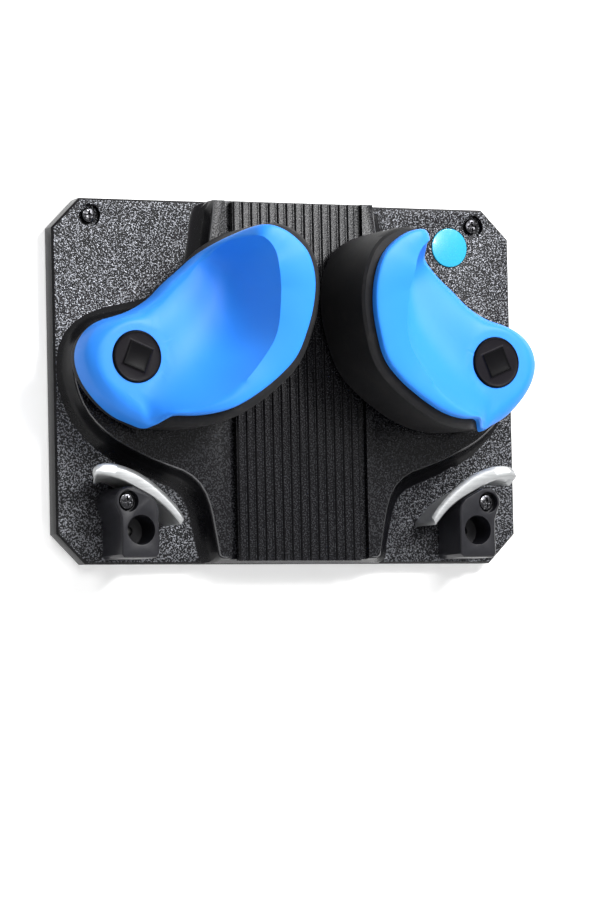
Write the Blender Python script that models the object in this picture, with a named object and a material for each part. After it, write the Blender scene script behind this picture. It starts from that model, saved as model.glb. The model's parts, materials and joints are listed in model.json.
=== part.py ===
"""A ski wall rack: two cam arms that swing on a moulded plate, and a curved hook under each.

Metres, +Z up. The wall is the plane Y = 0 and the rack stands out of it towards -Y.
The origin is the middle of the moulding's back face. A depth below is the distance
out of the wall, so a point at depth d has Y = -d.
"""

import math

import bmesh
import bpy
from mathutils import Vector
from mathutils.bvhtree import BVHTree

# Gaps between pieces that touch, and between pieces that turn
FIT_GAP = 0.0003
TURN_GAP = 0.0005

# How far a cutter runs past the face it starts from
CUT_OVER = 0.01

# Back plate
PLATE_WIDTH = 0.254
PLATE_HEIGHT = 0.182
PLATE_DEPTH = 0.009
PLATE_CHAMFER = 0.015
PLATE_EDGE = 0.001
PLATE_SKIN = 0.003

# Raised body on the plate: a spine with a lobe each side
BODY_DEPTH = 0.0205
BODY_FLARE = 0.0045
BODY_END_INSET = 0.0025
BODY_ROOT = 0.003
BODY_EDGE_ROUND = 0.0009
BODY_EDGE_INSET = 0.0006
SPINE_CORNER = 0.003

# Ribbed pad down the spine
PAD_HALF_WIDTH = 0.034
PAD_GROOVE = 0.004
PAD_RECESS = 0.0035
PAD_RIB_PITCH = 0.0048
PAD_RIB_HEIGHT = 0.0009
PAD_END_INSET = 0.001
PAD_PROUD = 0.0003

# Coring at the back of the plate
CORE_CELL = 0.022
CORE_RIB = 0.003
RECESS_WALL = 0.002
BOSS_WALL = 0.003

# Arm pivots, from the plate's centre
PIVOT_X = 0.0987
PIVOT_Z = 0.009

# Arm stack, as depths from the wall
WASHER_THICKNESS = 0.0014
HUB_SEAT_DEPTH = 0.0400
CAP_HEAD_CLEAR = 0.0006
CAP_PROUD = 0.0012

# Arm solid
ARM_EDGE = 0.0010
ARM_LIP = 0.0045
ARM_REBATE = 0.0028
ARM_WALL = 0.0040
ARM_CELL = 0.014
ARM_RIB = 0.003
ARM_CELL_U = 0.034
ARM_CELL_V = 0.004
ARM_STEPS = 96
HUB_SOLID_RADIUS = 0.0260
HUB_SHOULDER = 0.011
HUB_FLAT_OUTER = 0.0225
HUB_FLAT_EASE = 0.0055
DISH_POWER = 2.2
RIM_CROWN = 0.0006
LIP_DROP = 0.0006
SPOKE_HUB_END = 0.009
SPOKE_END = 0.0035

# Rubber band round the arm, which is the grip on the contact side
GRIP_PROUD = 0.0055
GRIP_EDGE = 0.0010
GRIP_BACK_STEP = 0.0010
BAND_INSET = 0.0008

# Pivot hardware
BOLT_RADIUS = 0.0040
BOLT_HEAD_RADIUS = 0.0068
BOLT_HEAD_HEIGHT = 0.0038
BOLT_POINT_EDGE = 0.0006
BOLT_SOCKET_RADIUS = 0.0029
BUSH_WALL = 0.0024
RETAINER_RADIUS = 0.0105
RETAINER_THICKNESS = 0.0016
THRUST_RADIUS = 0.0140
NUT_ACROSS_FLATS = 0.013
NUT_HEIGHT = 0.0065
NUT_FLOOR = 0.0015
CAP_RADIUS = 0.01285
CAP_SKIRT = 0.0009
CAP_DISC = 0.0016
CAP_SQUARE = 0.0122
CAP_SQUARE_HEIGHT = 0.0006
CAP_SQUARE_ROOT = 0.0005
CAP_EDGE = 0.0006
CAP_SQUARE_TURN = math.radians(-22)

# Stop pin under each arm, in a curved groove in the arm's back
OPEN_LIMIT = math.radians(38)
CLOSE_LIMIT = math.radians(20)
STOP_SLACK = 0.012
STOP_ORBIT = 0.019
STOP_ANGLE = math.radians(-100)
STOP_RADIUS = 0.0025
STOP_REACH = 0.0035
STOP_SINK = 0.009
STOP_EDGE = 0.0004

# Wall screws
UPPER_SCREW_FROM_SIDE = 0.0204
UPPER_SCREW_FROM_TOP = 0.0086
LOWER_SCREW_X = 0.0991
LOWER_SCREW_FROM_FOOT = 0.0299
SCREW_SHANK = 0.0021
SCREW_HEAD_HEIGHT = 0.0028
SCREW_IN_WALL = 0.026
SCREW_POINT = 0.007
SCREW_TIP = 0.0003
UPPER_HEAD_RADIUS = 0.0039
UPPER_RECESS_RADIUS = 0.0058
UPPER_RECESS_DEPTH = 0.0035
LOWER_HEAD_RADIUS = 0.00425
LOWER_RECESS_RADIUS = 0.0053
LOWER_RECESS_DEPTH = 0.0047
CROSS_WIDTH = 0.0011
CROSS_REACH = 0.0024
CROSS_DEPTH = 0.0016

# Hooks under the arms: the brackets and their saddles
BRACKET_DEPTH = 0.0345
BRACKET_EDGE_ROUND = 0.0007
SEAT_INNER_X = 0.0863
SEAT_OUTER_X = 0.0970
WELL_X = 0.0927
WELL_FROM_FOOT = 0.0158
WELL_RADIUS = 0.0074
WELL_DEPTH = 0.0165
SADDLE_FRONT = 0.0325
SADDLE_LIP = 0.0020
SADDLE_EDGE = 0.0006
SADDLE_BEVEL = 0.0020
SADDLE_BEVEL_DEPTH = 0.0012
SADDLE_SHEET = 0.0020
SADDLE_SEAT_GAP = 0.0004
SADDLE_TIP_REACH = 0.005
SADDLE_TIP_RAKE = 2.1
SADDLE_ROLL = 0.0042
SADDLE_ROLL_X = 0.1020
SADDLE_ROLL_RUN = 0.0110
SADDLE_STEPS = 26
SADDLE_SCREW_X = 0.0893
SADDLE_SCREW_DEPTH = 0.0205
SADDLE_SCREW_HEAD = 0.0034
SADDLE_SCREW_SHANK = 0.0016
SADDLE_SCREW_LENGTH = 0.0065
SADDLE_SCREW_POINT = 0.0015
SADDLE_SCREW_DOME = 0.0014

# Plain round badge
BADGE_FROM_SIDE = 0.0342
BADGE_FROM_TOP = 0.0200
BADGE_RADIUS = 0.0100
BADGE_THICKNESS = 0.0008
BADGE_SINK = 0.0005
BADGE_EDGE = 0.0003

# Sizes that follow from the ones above
ARM_BACK_DEPTH = BODY_DEPTH + WASHER_THICKNESS + 2 * FIT_GAP
BOLT_BORE = BOLT_RADIUS + FIT_GAP
BUSH_RADIUS = BOLT_BORE + BUSH_WALL
ARM_BORE = BUSH_RADIUS + FIT_GAP
CAP_RECESS = CAP_RADIUS + FIT_GAP
RETAINER_BACK = HUB_SEAT_DEPTH + FIT_GAP
BOLT_HEAD_BACK = RETAINER_BACK + RETAINER_THICKNESS + FIT_GAP
CAP_FACE_DEPTH = BOLT_HEAD_BACK + BOLT_HEAD_HEIGHT + CAP_HEAD_CLEAR + CAP_DISC
HUB_FACE_DEPTH = CAP_FACE_DEPTH - CAP_PROUD
PAD_FLOOR = BODY_DEPTH - PAD_RECESS
SCREW_HOLE = SCREW_SHANK + FIT_GAP
TOP = PLATE_HEIGHT / 2
FOOT = -PLATE_HEIGHT / 2
UPPER_SCREW_X = PLATE_WIDTH / 2 - UPPER_SCREW_FROM_SIDE
UPPER_SCREW_Z = TOP - UPPER_SCREW_FROM_TOP
BADGE_X = PLATE_WIDTH / 2 - BADGE_FROM_SIDE
BADGE_Z = TOP - BADGE_FROM_TOP
LOWER_SCREW_Z = FOOT + LOWER_SCREW_FROM_FOOT
WELL_Z = FOOT + WELL_FROM_FOOT
ROUND_STEPS = 32
SMALL_STEPS = 20


# Front edge of the raised body for x > 0, from the top round the lobe to the spine's foot: x, z, and
# how far the slope spreads from there, as a share of BODY_FLARE. Its ends follow the plate's top and
# foot, and the lobe between them stays with the pivot.
BODY_EDGE = [
    (0.0440, TOP, 2.0), (0.0460, TOP - 0.0160, 2.0), (0.0488, TOP - 0.0310, 2.0), (0.0548, 0.0462, 1.9),
    (0.0665, 0.0375, 1.8), (0.0820, 0.0330, 1.6), (0.0980, 0.0305, 1.4), (0.1105, 0.0268, 1.1),
    (0.1188, 0.0190, 1.0), (0.1214, 0.0070, 1.0), (0.1191, -0.0066, 1.1), (0.1123, -0.0189, 1.3),
    (0.1013, -0.0287, 1.5), (0.0907, -0.0345, 1.7), (0.0801, -0.0394, 1.8), (0.0688, -0.0434, 2.0),
    (0.0607, -0.0464, 2.2), (0.0533, -0.0530, 2.2), (0.0490, FOOT + 0.0281, 2.2),
    (0.0464, FOOT + 0.0151, 2.0), (0.0448, FOOT + 0.0060, 1.8),
]

# Slope of the body from under the plate's face to its own: depth, and share of the spread there
BODY_SLOPE = [
    (PLATE_DEPTH - BODY_ROOT, 1.0), (PLATE_DEPTH, 1.0), (PLATE_DEPTH + 0.0022, 0.55),
    (PLATE_DEPTH + 0.0055, 0.22), (BODY_DEPTH - BODY_EDGE_ROUND, 0.06),
]

# Arm outline about the pivot, for the arm at rest: inwards, up, depth of the front edge there,
# width of the rim's face there, and how far the rubber stands out of the side, from 0 to 1. It
# runs from the notch under the chin along the contact side, over the tip and back to the chin.
ARM_OUTLINE = [
    (0.0147, -0.0295, 0.0560, 0.0010, 1), (0.0242, -0.0296, 0.0620, 0.0030, 1),
    (0.0343, -0.0285, 0.0670, 0.0050, 1), (0.0439, -0.0253, 0.0700, 0.0065, 1),
    (0.0546, -0.0190, 0.0715, 0.0095, 1), (0.0653, -0.0108, 0.0725, 0.0125, 1),
    (0.0743, -0.0008, 0.0745, 0.0150, 1), (0.0794, 0.0128, 0.0770, 0.0175, 1),
    (0.0820, 0.0253, 0.0790, 0.0195, 1), (0.0820, 0.0375, 0.0810, 0.0195, 1),
    (0.0787, 0.0486, 0.0820, 0.0180, 1), (0.0731, 0.0554, 0.0820, 0.0145, 1),
    (0.0651, 0.0609, 0.0820, 0.0105, 0.75), (0.0566, 0.0633, 0.0810, 0.0070, 0.3),
    (0.0513, 0.0624, 0.0760, 0.0045, 0), (0.0481, 0.0607, 0.0680, 0.0028, 0),
    (0.0429, 0.0575, 0.0570, 0.0012, 0), (0.0391, 0.0543, 0.0475, 0.0, 0),
    (0.0350, 0.0505, 0.0405, 0.0, 0), (0.0286, 0.0444, 0.0375, 0.0, 0),
    (0.0201, 0.0373, 0.0370, 0.0, 0), (0.0119, 0.0295, 0.0370, 0.0, 0),
    (0.0021, 0.0237, 0.0365, 0.0, 0), (-0.0070, 0.0206, 0.0360, 0.0, 0),
    (-0.0139, 0.0185, 0.0360, 0.0, 0), (-0.0207, 0.0140, 0.0360, 0.0, 0),
    (-0.0255, 0.0070, 0.0360, 0.0, 0), (-0.0268, -0.0010, 0.0360, 0.0, 0),
    (-0.0239, -0.0105, 0.0360, 0.0, 0), (-0.0173, -0.0198, 0.0362, 0.0, 0),
    (-0.0084, -0.0279, 0.0370, 0.0, 0), (0.0006, -0.0323, 0.0390, 0.0, 0),
    (0.0075, -0.0350, 0.0440, 0.0, 0),
]

# Line down the middle of the arm that its front surface runs in to (inwards, up, depth)
ARM_SPINE = [(-0.004, -0.004, HUB_FACE_DEPTH), (0.012, 0.004, HUB_FACE_DEPTH),
             (0.028, 0.016, HUB_FACE_DEPTH - 0.0005), (0.040, 0.030, HUB_FACE_DEPTH - 0.0015),
             (0.045, 0.040, HUB_FACE_DEPTH - 0.0010)]

# Saddle at x > 0: the two edges of its front lip (x, height above the plate's foot), from the
# outer end to the inner end
LIP_TOP = [(0.1166, 0.0440), (0.1156, 0.0466), (0.1130, 0.0481), (0.1084, 0.0486),
           (0.1034, 0.0480), (0.0986, 0.0467), (0.0939, 0.0449), (0.0895, 0.0425),
           (0.0853, 0.0397), (0.0814, 0.0367), (0.0776, 0.0334), (0.0741, 0.0299),
           (0.0708, 0.0261), (0.0682, 0.0223)]
LIP_BOTTOM = [(0.1160, 0.0424), (0.1141, 0.0430), (0.1112, 0.0429), (0.1063, 0.0418),
              (0.1016, 0.0402), (0.0971, 0.0381), (0.0926, 0.0358), (0.0881, 0.0335),
              (0.0838, 0.0310), (0.0797, 0.0282), (0.0760, 0.0249), (0.0729, 0.0215),
              (0.0704, 0.0186)]

# Bracket outline for x > 0, clockwise from the top of its screw boss to its inner shoulder (x,
# height above the plate's foot); its top follows the saddle's underside
BRACKET_EDGE = [
    (0.1003, 0.0370), (0.1035, 0.0354), (0.1056, 0.0323), (0.1060, 0.0288), (0.1042, 0.0250),
    (0.1029, 0.0210), (0.1028, 0.0150), (0.1030, 0.0038), (0.1016, 0.0021), (0.0848, 0.0021),
    (0.0830, 0.0038), (0.0830, 0.0255), (0.0835, 0.0283), (0.0849, 0.0305),
]

# Colours as linear RGB with roughness and metalness
FINISHES = {
    "matte_black": ((0.018, 0.018, 0.020), 0.55, 0.0),
    "blue_moulding": ((0.030, 0.270, 0.800), 0.38, 0.0),
    "black_rubber": ((0.012, 0.012, 0.013), 0.80, 0.0),
    "charcoal_cap": ((0.035, 0.037, 0.042), 0.45, 0.0),
    "satin_silver": ((0.520, 0.530, 0.540), 0.38, 1.0),
    "black_screw": ((0.040, 0.040, 0.042), 0.35, 1.0),
    "zinc_steel": ((0.560, 0.560, 0.570), 0.30, 1.0),
    "white_nylon": ((0.700, 0.700, 0.680), 0.50, 0.0),
    "cyan_badge": ((0.010, 0.380, 0.620), 0.35, 0.0),
}


def at(x, z, depth):
    """Return the point at x and z that stands the given depth out of the wall."""
    return Vector((x, -depth, z))


def clear_scene():
    """Remove everything a default Blender file starts with."""
    for item in list(bpy.data.objects):
        bpy.data.objects.remove(item, do_unlink=True)
    for mesh in list(bpy.data.meshes):
        bpy.data.meshes.remove(mesh)


def finish(name):
    """Return the named finish as a material, made on first use."""
    if name in bpy.data.materials:
        return bpy.data.materials[name]
    colour, roughness, metalness = FINISHES[name]
    material = bpy.data.materials.new(name)
    material.use_nodes = True
    shader = material.node_tree.nodes["Principled BSDF"]
    shader.inputs["Base Color"].default_value = (*colour, 1.0)
    shader.inputs["Roughness"].default_value = roughness
    shader.inputs["Metallic"].default_value = metalness
    material.diffuse_color = (*colour, 1.0)
    return material


def make_object(name, shape, finish_name):
    """Turn a bmesh into a named object with one material and outward faces."""
    bmesh.ops.remove_doubles(shape, verts=shape.verts, dist=1e-7)
    bmesh.ops.recalc_face_normals(shape, faces=shape.faces)
    mesh = bpy.data.meshes.new(name)
    shape.to_mesh(mesh)
    shape.free()
    item = bpy.data.objects.new(name, mesh)
    bpy.context.collection.objects.link(item)
    mesh.materials.append(finish(finish_name))
    return item


def boolean(item, shape, operation="DIFFERENCE"):
    """Cut a bmesh out of an object, or join it on, and keep the result as its mesh."""
    bmesh.ops.recalc_face_normals(shape, faces=shape.faces)
    tool_mesh = bpy.data.meshes.new("tool")
    shape.to_mesh(tool_mesh)
    shape.free()
    tool = bpy.data.objects.new("tool", tool_mesh)
    bpy.context.collection.objects.link(tool)
    modifier = item.modifiers.new("boolean", "BOOLEAN")
    modifier.operation = operation
    modifier.solver = "EXACT"
    modifier.object = tool
    scene = bpy.context.evaluated_depsgraph_get()
    result = bpy.data.meshes.new_from_object(item.evaluated_get(scene))
    item.modifiers.clear()
    before = item.data
    item.data = result
    result.name = item.name
    bpy.data.objects.remove(tool, do_unlink=True)
    bpy.data.meshes.remove(tool_mesh)
    bpy.data.meshes.remove(before)


def loft(rings, shape=None):
    """Skin closed rings of equal length in order and cap both ends."""
    shape = shape or bmesh.new()
    rows = [[shape.verts.new(point) for point in ring] for ring in rings]
    for first, second in zip(rows, rows[1:]):
        for i in range(len(first)):
            j = (i + 1) % len(first)
            shape.faces.new((first[i], first[j], second[j], second[i]))
    shape.faces.new(rows[0])
    shape.faces.new(rows[-1])
    return shape


def hoop(rings):
    """Skin closed rings of equal length in order and join the last to the first."""
    shape = bmesh.new()
    rows = [[shape.verts.new(point) for point in ring_points] for ring_points in rings]
    for k, first in enumerate(rows):
        second = rows[(k + 1) % len(rows)]
        for i in range(len(first)):
            j = (i + 1) % len(first)
            shape.faces.new((first[i], first[j], second[j], second[i]))
    return shape


def prism(outline, back, front, shape=None):
    """Extrude an (x, z) outline from one depth to another."""
    return loft([[at(x, z, back) for x, z in outline], [at(x, z, front) for x, z in outline]], shape)


def box(x0, x1, z0, z1, back, front, shape=None):
    """Make a box from its limits."""
    return prism([(x0, z0), (x1, z0), (x1, z1), (x0, z1)], back, front, shape)


def circle(x, z, radius, steps=ROUND_STEPS, turn=0.0):
    """Return the points of a circle or, with few steps, of a regular polygon."""
    angles = [turn + 2 * math.pi * i / steps for i in range(steps)]
    return [(x + radius * math.cos(a), z + radius * math.sin(a)) for a in angles]


def lathe(x, z, profile, steps=ROUND_STEPS, shape=None):
    """Turn a profile of (radius, depth) pairs about the line through (x, z) out of the wall."""
    return loft([[at(px, pz, depth) for px, pz in circle(x, z, radius, steps)]
                 for radius, depth in profile], shape)


def ring(x, z, inner, outer, back, front, steps=ROUND_STEPS):
    """Make a flat ring with a hole through it."""
    profile = ((inner, back), (outer, back), (outer, front), (inner, front))
    return hoop([[at(px, pz, depth) for px, pz in circle(x, z, radius, steps)] for radius, depth in profile])


def spline(points, count, closed=False):
    """Resample a smooth curve through the points at equal steps along its length."""
    total = len(points)
    dense = []
    spans = total if closed else total - 1
    for i in range(spans):
        if closed:
            group = [points[(i + k) % total] for k in (-1, 0, 1, 2)]
        else:
            group = [points[min(max(i + k, 0), total - 1)] for k in (-1, 0, 1, 2)]
        for step in range(12):
            t = step / 12
            weights = (-0.5 * t + t * t - 0.5 * t ** 3, 1 - 2.5 * t * t + 1.5 * t ** 3,
                       0.5 * t + 2 * t * t - 1.5 * t ** 3, -0.5 * t * t + 0.5 * t ** 3)
            dense.append([sum(w * p[k] for w, p in zip(weights, group)) for k in range(len(points[0]))])
    dense.append(list(points[0] if closed else points[-1]))
    lengths = [0.0]
    for a, b in zip(dense, dense[1:]):
        lengths.append(lengths[-1] + math.dist(a[:2], b[:2]))
    pieces = count if closed else count - 1
    samples = []
    place = 0
    for i in range(count):
        target = lengths[-1] * i / pieces
        while place < len(lengths) - 2 and lengths[place + 1] < target:
            place += 1
        share = (target - lengths[place]) / (lengths[place + 1] - lengths[place])
        samples.append(tuple(a + (b - a) * share for a, b in zip(dense[place], dense[place + 1])))
    return samples


def outward_normals(points):
    """Return the unit normals that point out of a closed outline."""
    count = len(points)
    area = sum(points[i][0] * points[(i + 1) % count][1] - points[(i + 1) % count][0] * points[i][1]
               for i in range(count))
    sign = 1 if area > 0 else -1
    normals = []
    for i in range(count):
        dx = points[(i + 1) % count][0] - points[i - 1][0]
        dz = points[(i + 1) % count][1] - points[i - 1][1]
        size = math.hypot(dx, dz)
        normals.append((sign * dz / size, -sign * dx / size))
    return normals


def inside(outline, x, z):
    """Tell whether a point is inside a closed outline."""
    result = False
    for i in range(len(outline)):
        x0, z0 = outline[i - 1][:2]
        x1, z1 = outline[i][:2]
        if (z0 > z) != (z1 > z) and x < (x1 - x0) * (z - z0) / (z1 - z0) + x0:
            result = not result
    return result


def edge_distance(outline, x, z):
    """Return the distance from a point to the nearest edge of a closed outline."""
    best = 1.0
    for i in range(len(outline)):
        x0, z0 = outline[i - 1][:2]
        dx, dz = outline[i][0] - x0, outline[i][1] - z0
        share = ((x - x0) * dx + (z - z0) * dz) / (dx * dx + dz * dz)
        share = min(max(share, 0.0), 1.0)
        best = min(best, math.hypot(x - x0 - share * dx, z - z0 - share * dz))
    return best


def blend(value):
    """Ease a value from 0 to 1 and hold it outside that."""
    value = min(max(value, 0.0), 1.0)
    return value * value * (3 - 2 * value)


def within_plate(x, z):
    """Pull a point of the body's slope back inside the plate's front edge."""
    limit_x = PLATE_WIDTH / 2 - PLATE_EDGE
    limit_z = PLATE_HEIGHT / 2 - FIT_GAP
    return min(max(x, -limit_x), limit_x), min(max(z, -limit_z), limit_z)


def body_outline():
    """Return the closed front edge of the raised body as (x, z, how far its slope spreads)."""
    half = spline(BODY_EDGE, 46)
    foot_x, _, foot_share = half[-1]
    foot_z = FOOT + BODY_END_INSET
    for step in range(1, 5):
        angle = math.radians(90 * step / 4)
        share = 1 + (foot_share - 1) * math.cos(angle)
        half.append((foot_x - SPINE_CORNER * (1 - math.cos(angle)),
                     foot_z + SPINE_CORNER * (1 - math.sin(angle)), share))
    return [(x, z, BODY_FLARE * share) for x, z, share in half + [(-x, z, s) for x, z, s in reversed(half)]]


def plate_corners():
    """Return the chamfered outline of the plate."""
    w, h, c = PLATE_WIDTH / 2, PLATE_HEIGHT / 2, PLATE_CHAMFER
    half = [(w - c, h), (w, h - c), (w, c - h), (w - c, -h)]
    return half + [(-x, z) for x, z in reversed(half)]


def plate_cells(front):
    """Return the pockets at the back of the plate as (x, z, depth), deep ones inside the front edge."""
    pitch = CORE_CELL + CORE_RIB
    half = CORE_CELL / 2
    keep_clear = []
    for side in (-1, 1):
        keep_clear.append((side * PIVOT_X, PIVOT_Z, NUT_ACROSS_FLATS))
        keep_clear.append((side * UPPER_SCREW_X, UPPER_SCREW_Z, UPPER_RECESS_RADIUS + RECESS_WALL))
        keep_clear.append((side * LOWER_SCREW_X, LOWER_SCREW_Z, SCREW_HOLE + BOSS_WALL))
        pin_x, pin_z = stop_place(side)
        keep_clear.append((pin_x, pin_z, STOP_RADIUS + BOSS_WALL))
    corners = plate_corners()
    cells = []
    for column in range(-5, 5):
        for row in range(-3, 4):
            x = (column + 0.5) * pitch
            z = row * pitch
            if row == 0 and abs(x) < pitch:
                continue
            points = [(x + i * half, z + k * half) for i in (-1, 0, 1) for k in (-1, 0, 1)]
            if any(not inside(corners, *p) or edge_distance(corners, *p) < CORE_RIB for p in points):
                continue
            if any(math.hypot(max(abs(x - px) - half, 0), max(abs(z - pz) - half, 0)) < reach
                   for px, pz, reach in keep_clear):
                continue
            under_body = all(inside(front, *p) and edge_distance(front, *p) > PLATE_SKIN / 2 for p in points)
            cells.append((x, z, (PAD_FLOOR if under_body else PLATE_DEPTH) - PLATE_SKIN))
    return cells


def stop_place(side):
    """Return where the stop pin stands in the body."""
    return from_arm(side, STOP_ORBIT * math.cos(STOP_ANGLE), STOP_ORBIT * math.sin(STOP_ANGLE))


def make_back_plate():
    """Make the moulding: plate, sloped body, pad recess, screw seats and rear coring."""
    w, h, c, e = PLATE_WIDTH / 2, PLATE_HEIGHT / 2, PLATE_CHAMFER, PLATE_EDGE
    corners = plate_corners()
    inset = [(math.copysign(abs(x) - e * (1.0 if abs(x) == w else 0.41), x),
              math.copysign(abs(z) - e * (1.0 if abs(z) == h else 0.41), z)) for x, z in corners]
    plate = make_object("back_plate", loft([
        [at(x, z, 0) for x, z in corners],
        [at(x, z, PLATE_DEPTH - e) for x, z in corners],
        [at(x, z, PLATE_DEPTH) for x, z in inset]]), "matte_black")

    front = body_outline()
    normals = outward_normals(front)
    rows = []
    for depth, share in BODY_SLOPE:
        places = [within_plate(x + nx * spread * share, z + nz * spread * share)
                  for (x, z, spread), (nx, nz) in zip(front, normals)]
        rows.append([at(x, z, depth) for x, z in places])
    rows.append([at(x - nx * BODY_EDGE_INSET, z - nz * BODY_EDGE_INSET, BODY_DEPTH)
                 for (x, z, spread), (nx, nz) in zip(front, normals)])
    boolean(plate, loft(rows), "UNION")

    tools = bmesh.new()
    recess = PAD_HALF_WIDTH + PAD_GROOVE
    box(-recess, recess, -PLATE_HEIGHT, PLATE_HEIGHT, PAD_FLOOR, BODY_DEPTH + CUT_OVER, tools)
    badge_hole = BADGE_RADIUS + FIT_GAP
    lathe(BADGE_X, BADGE_Z, [(badge_hole, PLATE_DEPTH - BADGE_SINK), (badge_hole, PLATE_DEPTH + CUT_OVER)],
          ROUND_STEPS, tools)
    for x, z, depth in plate_cells(front):
        half = CORE_CELL / 2
        box(x - half, x + half, z - half, z + half, -CUT_OVER, depth, tools)
    for side in (-1, 1):
        lathe(side * UPPER_SCREW_X, UPPER_SCREW_Z,
              [(SCREW_HOLE, -CUT_OVER), (SCREW_HOLE, PLATE_DEPTH - UPPER_RECESS_DEPTH),
               (UPPER_RECESS_RADIUS, PLATE_DEPTH - UPPER_RECESS_DEPTH),
               (UPPER_RECESS_RADIUS, PLATE_DEPTH + CUT_OVER)], SMALL_STEPS, tools)
        for x, z in ((LOWER_SCREW_X, LOWER_SCREW_Z), (WELL_X, WELL_Z)):
            lathe(side * x, z, [(SCREW_HOLE, -CUT_OVER), (SCREW_HOLE, PLATE_DEPTH + CUT_OVER)],
                  SMALL_STEPS, tools)
        pin_x, pin_z = stop_place(side)
        lathe(pin_x, pin_z, [(STOP_RADIUS + FIT_GAP, BODY_DEPTH - STOP_SINK - FIT_GAP),
                             (STOP_RADIUS + FIT_GAP, BODY_DEPTH + CUT_OVER)], SMALL_STEPS, tools)
        lathe(side * PIVOT_X, PIVOT_Z,
              [(BOLT_BORE, NUT_FLOOR + NUT_HEIGHT), (BOLT_BORE, BODY_DEPTH + CUT_OVER)], SMALL_STEPS, tools)
    boolean(plate, tools)
    for side in (-1, 1):
        nut_radius = (NUT_ACROSS_FLATS / 2 + FIT_GAP) / math.cos(math.radians(30))
        boolean(plate, prism(circle(side * PIVOT_X, PIVOT_Z, nut_radius, 6),
                             -CUT_OVER, NUT_FLOOR + NUT_HEIGHT + FIT_GAP))
    return plate


def make_ribbed_pad():
    """Make the pad in the spine with its upright ribs."""
    floor = PAD_FLOOR + FIT_GAP
    crest = BODY_DEPTH + PAD_PROUD
    valley = crest - PAD_RIB_HEIGHT
    outline = [(-PAD_HALF_WIDTH, floor)]
    count = round(2 * PAD_HALF_WIDTH / PAD_RIB_PITCH)
    pitch = 2 * PAD_HALF_WIDTH / count
    for i in range(count):
        x = -PAD_HALF_WIDTH + i * pitch
        outline += [(x + 0.08 * pitch, valley), (x + 0.20 * pitch, crest),
                    (x + 0.80 * pitch, crest), (x + 0.92 * pitch, valley)]
    outline += [(PAD_HALF_WIDTH, valley), (PAD_HALF_WIDTH, floor)]
    outline.insert(1, (-PAD_HALF_WIDTH, valley))
    ends = (FOOT + PAD_END_INSET, TOP - PAD_END_INSET)
    return make_object("ribbed_pad", loft([[at(x, z, d) for x, d in outline] for z in ends]), "matte_black")


def arm_samples():
    """Return the arm's outline with its normals and the spoke each point sends inwards."""
    outline = spline(ARM_OUTLINE, ARM_STEPS, closed=True)
    normals = outward_normals(outline)
    spine = spline(ARM_SPINE, 60)
    rows = []
    for (u, v, edge, rim, grip), normal in zip(outline, normals):
        k = min(range(len(spine)), key=lambda i: math.hypot(spine[i][0] - u, spine[i][1] - v))
        mu, mv, middle = spine[k]
        reach = math.hypot(mu - u, mv - v)
        core = SPOKE_HUB_END + (SPOKE_END - SPOKE_HUB_END) * blend(k / 18)
        rows.append({"u": u, "v": v, "edge": edge, "rim": max(rim, 0.0018), "grip": min(max(grip, 0), 1),
                     "normal": normal, "spoke": ((mu - u) / reach, (mv - v) / reach),
                     "reach": reach - core, "core": core, "middle": middle})
    return rows


def arm_front(row, distance, dish):
    """Return the arm's front depth at a distance in from its edge along one spoke."""
    edge, middle, rim = row["edge"], row["middle"], row["rim"]
    if distance <= rim:
        hollow = edge + RIM_CROWN * math.sin(math.pi * distance / rim)
    else:
        hollow = middle + (edge - middle) * max(0, 1 - (distance - rim) / (row["reach"] - rim)) ** DISH_POWER
    share = min(distance / row["shoulder"], 1)
    round_top = edge + (middle - edge) * math.sqrt(1 - (1 - share) ** 2)
    depth = round_top + (hollow - round_top) * dish
    u = row["u"] + row["spoke"][0] * distance
    v = row["v"] + row["spoke"][1] * distance
    return depth + (HUB_FACE_DEPTH - depth) * blend((HUB_FLAT_OUTER - math.hypot(u, v)) / HUB_FLAT_EASE)


def arm_rings():
    """Return the arm's rings as (inwards, up, depth) from the middle of its front to its back."""
    rows = arm_samples()
    fronts = []
    for row in rows:
        dish = blend((row["edge"] - row["middle"] + 0.003) / 0.009)
        row["shoulder"] = min(HUB_SHOULDER, row["reach"] * 0.75)
        rim, reach, shoulder = row["rim"], row["reach"], row["shoulder"]
        hollow_steps = [ARM_EDGE, rim / 2 + ARM_EDGE / 2, rim]
        hollow_steps += [rim + (reach - rim) * s for s in (0.07, 0.17, 0.31, 0.50, 0.74, 1.0)]
        round_steps = [ARM_EDGE + (shoulder - ARM_EDGE) * s for s in (0, 0.08, 0.20, 0.36, 0.54, 0.76, 1.0)]
        round_steps += [shoulder + (reach - shoulder) * 0.5, reach]
        core_steps = [reach + row["core"] * s for s in (0.4, 0.75)]
        hollow_steps += core_steps
        round_steps += core_steps
        spoke = []
        for a, b in zip(round_steps, hollow_steps):
            distance = a + (b - a) * dish
            spoke.append((row["u"] + row["spoke"][0] * distance, row["v"] + row["spoke"][1] * distance,
                          arm_front(row, distance, dish)))
        spoke.reverse()
        nu, nv = row["normal"]
        lip = row["edge"] - ARM_LIP
        spoke.append((row["u"], row["v"], row["edge"] - ARM_EDGE * 0.8))
        spoke.append((row["u"], row["v"], lip))
        spoke.append((row["u"] - nu * ARM_REBATE, row["v"] - nv * ARM_REBATE, lip - LIP_DROP))
        spoke.append((row["u"] - nu * ARM_REBATE, row["v"] - nv * ARM_REBATE, ARM_BACK_DEPTH))
        fronts.append(spoke)
    return [[spoke[k] for spoke in fronts] for k in range(len(fronts[0]))]


def from_arm(side, u, v):
    """Turn a place on an arm, inwards and up from its pivot, into (x, z)."""
    return side * (PIVOT_X - u), PIVOT_Z + v


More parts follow.
